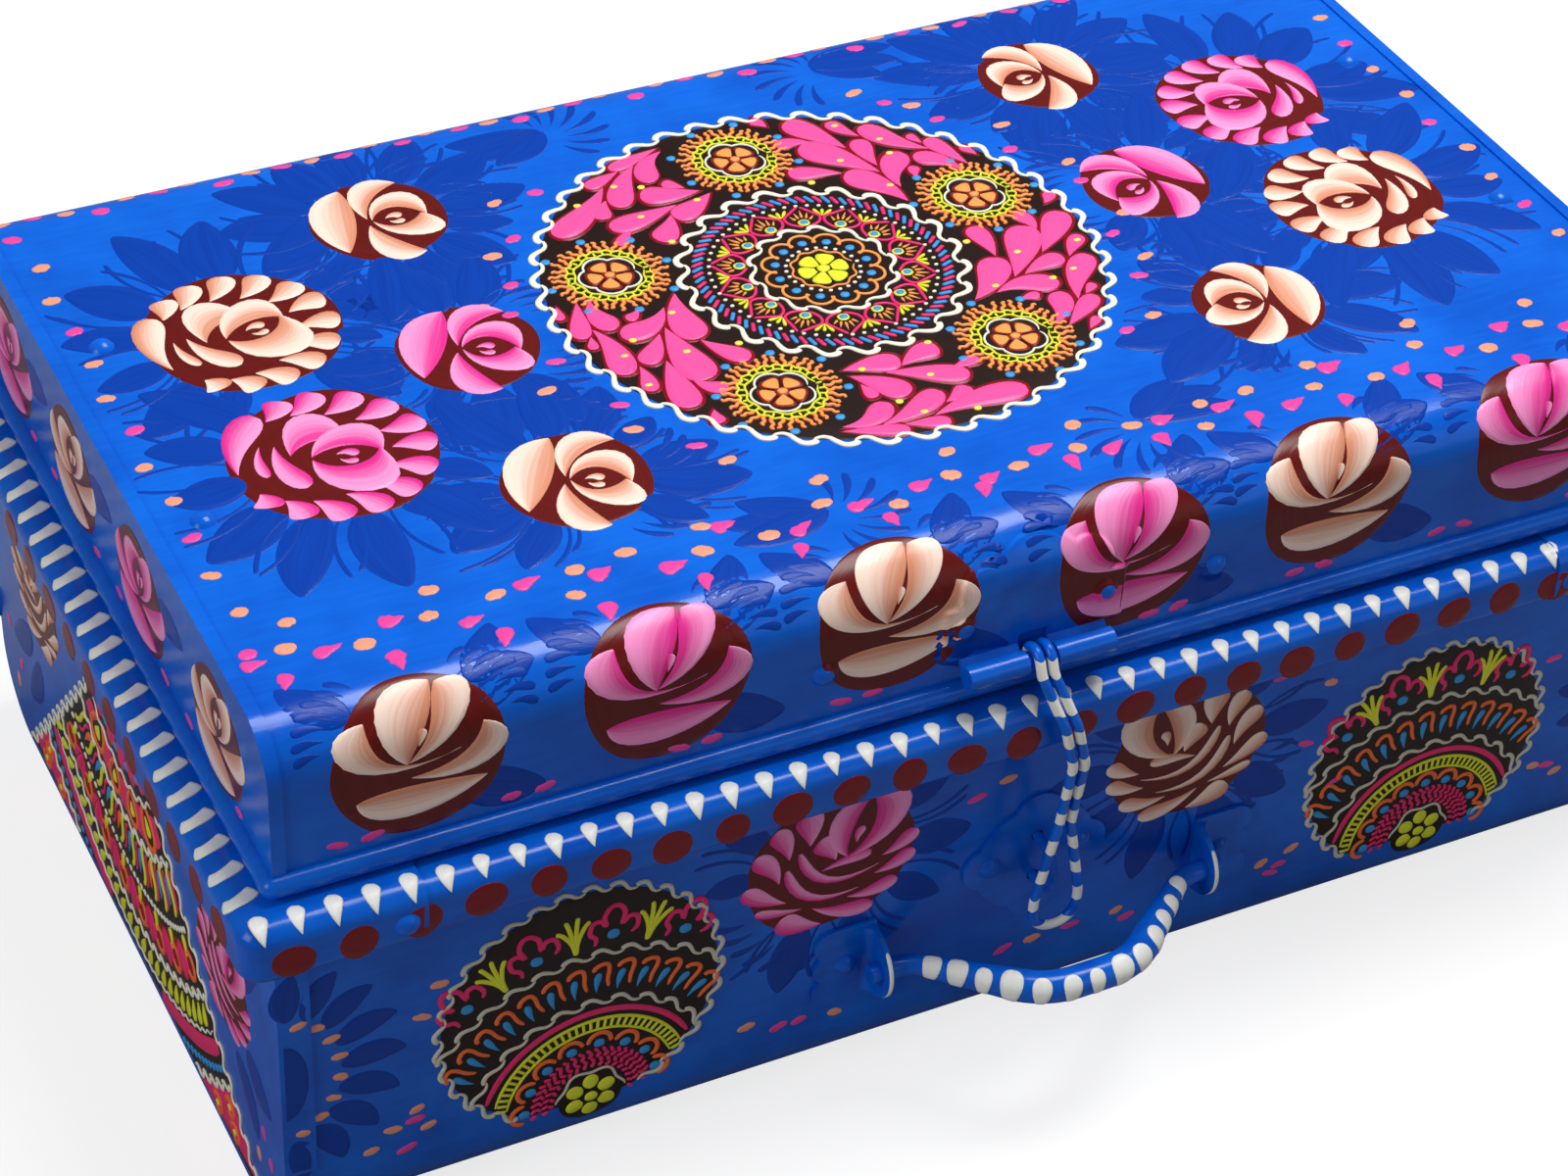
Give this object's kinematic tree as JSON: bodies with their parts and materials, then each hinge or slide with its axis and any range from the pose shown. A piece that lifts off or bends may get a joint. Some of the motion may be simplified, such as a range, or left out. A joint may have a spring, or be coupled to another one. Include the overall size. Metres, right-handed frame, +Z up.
{
  "type": "tin trunk",
  "caption": "Small painted tin trunk with a hinged lid, rolled rim, wire hasp over a staple and a carrying bail on the front.",
  "frame": {"origin": "centre of the flat underside", "axes": "+X along the length, -Y towards the hasp and the handle, +Z up"},
  "size_m": [0.365, 0.2411, 0.1456],
  "materials": {
    "rim_enamel": "gloss enamel over tinned sheet",
    "bail_enamel": "gloss enamel over tinned sheet",
    "wire_enamel": "gloss enamel over tinned sheet",
    "lid_enamel": "gloss enamel over tinned sheet",
    "body_enamel": "gloss enamel over tinned sheet",
    "fitting_enamel": "gloss enamel over tinned sheet",
    "steel_wire": "bare drawn wire",
    "tinplate": "bare tinned sheet"
  },
  "bodies": {
    "trunk_body": {"body_wrap": "body_enamel", "body_end_left": "body_enamel", "body_end_right": "body_enamel", "rim_band_left": "rim_enamel", "rim_band_right": "rim_enamel", "rim_band_front": "rim_enamel", "rim_band_back": "rim_enamel", "rim_band_rivets": "rim_enamel", "inner_lip": "tinplate", "lock_plate": "fitting_enamel", "lock_plate_rivets": "fitting_enamel", "staple": "wire_enamel", "handle_bracket_left": "fitting_enamel", "handle_bracket_right": "fitting_enamel", "handle_bracket_rivets": "fitting_enamel", "hinge_body_leaf_left": "fitting_enamel", "hinge_body_leaf_right": "fitting_enamel", "hinge_body_rivets": "fitting_enamel", "hinge_pin_left": "fitting_enamel", "hinge_pin_right": "fitting_enamel"},
    "lid": {"lid_wrap": "lid_enamel", "lid_end_left": "lid_enamel", "lid_end_right": "lid_enamel", "lid_end_rivets": "lid_enamel", "lid_hem_wires": "steel_wire", "lid_backing_strip": "tinplate", "lid_front_rivets": "lid_enamel", "hasp_plate": "fitting_enamel", "hasp_plate_rivets": "fitting_enamel", "hasp_pin": "fitting_enamel", "hinge_lid_leaf_left": "fitting_enamel", "hinge_lid_leaf_right": "fitting_enamel", "hinge_lid_rivets": "fitting_enamel"},
    "hasp": {"hasp_wire": "wire_enamel"},
    "bail": {"bail_handle": "bail_enamel"}
  },
  "joints": [
    {"name": "lid_hinge", "type": "hinge", "parent": "trunk_body", "child": "lid", "pos_m": [0, 0.10435, 0.1068], "axis": [-1, 0, 0], "range_deg": [0, 105]},
    {"name": "hasp_hinge", "type": "hinge", "parent": "lid", "child": "hasp", "pos_m": [-0.003, -0.10405, 0.1144], "axis": [-1, 0, 0], "range_deg": [-5.5, 145]},
    {"name": "bail_hinge", "type": "hinge", "parent": "trunk_body", "child": "bail", "pos_m": [0.0055, -0.1063, 0.037], "axis": [-1, 0, 0], "range_deg": [-90, 45]}
  ]
}
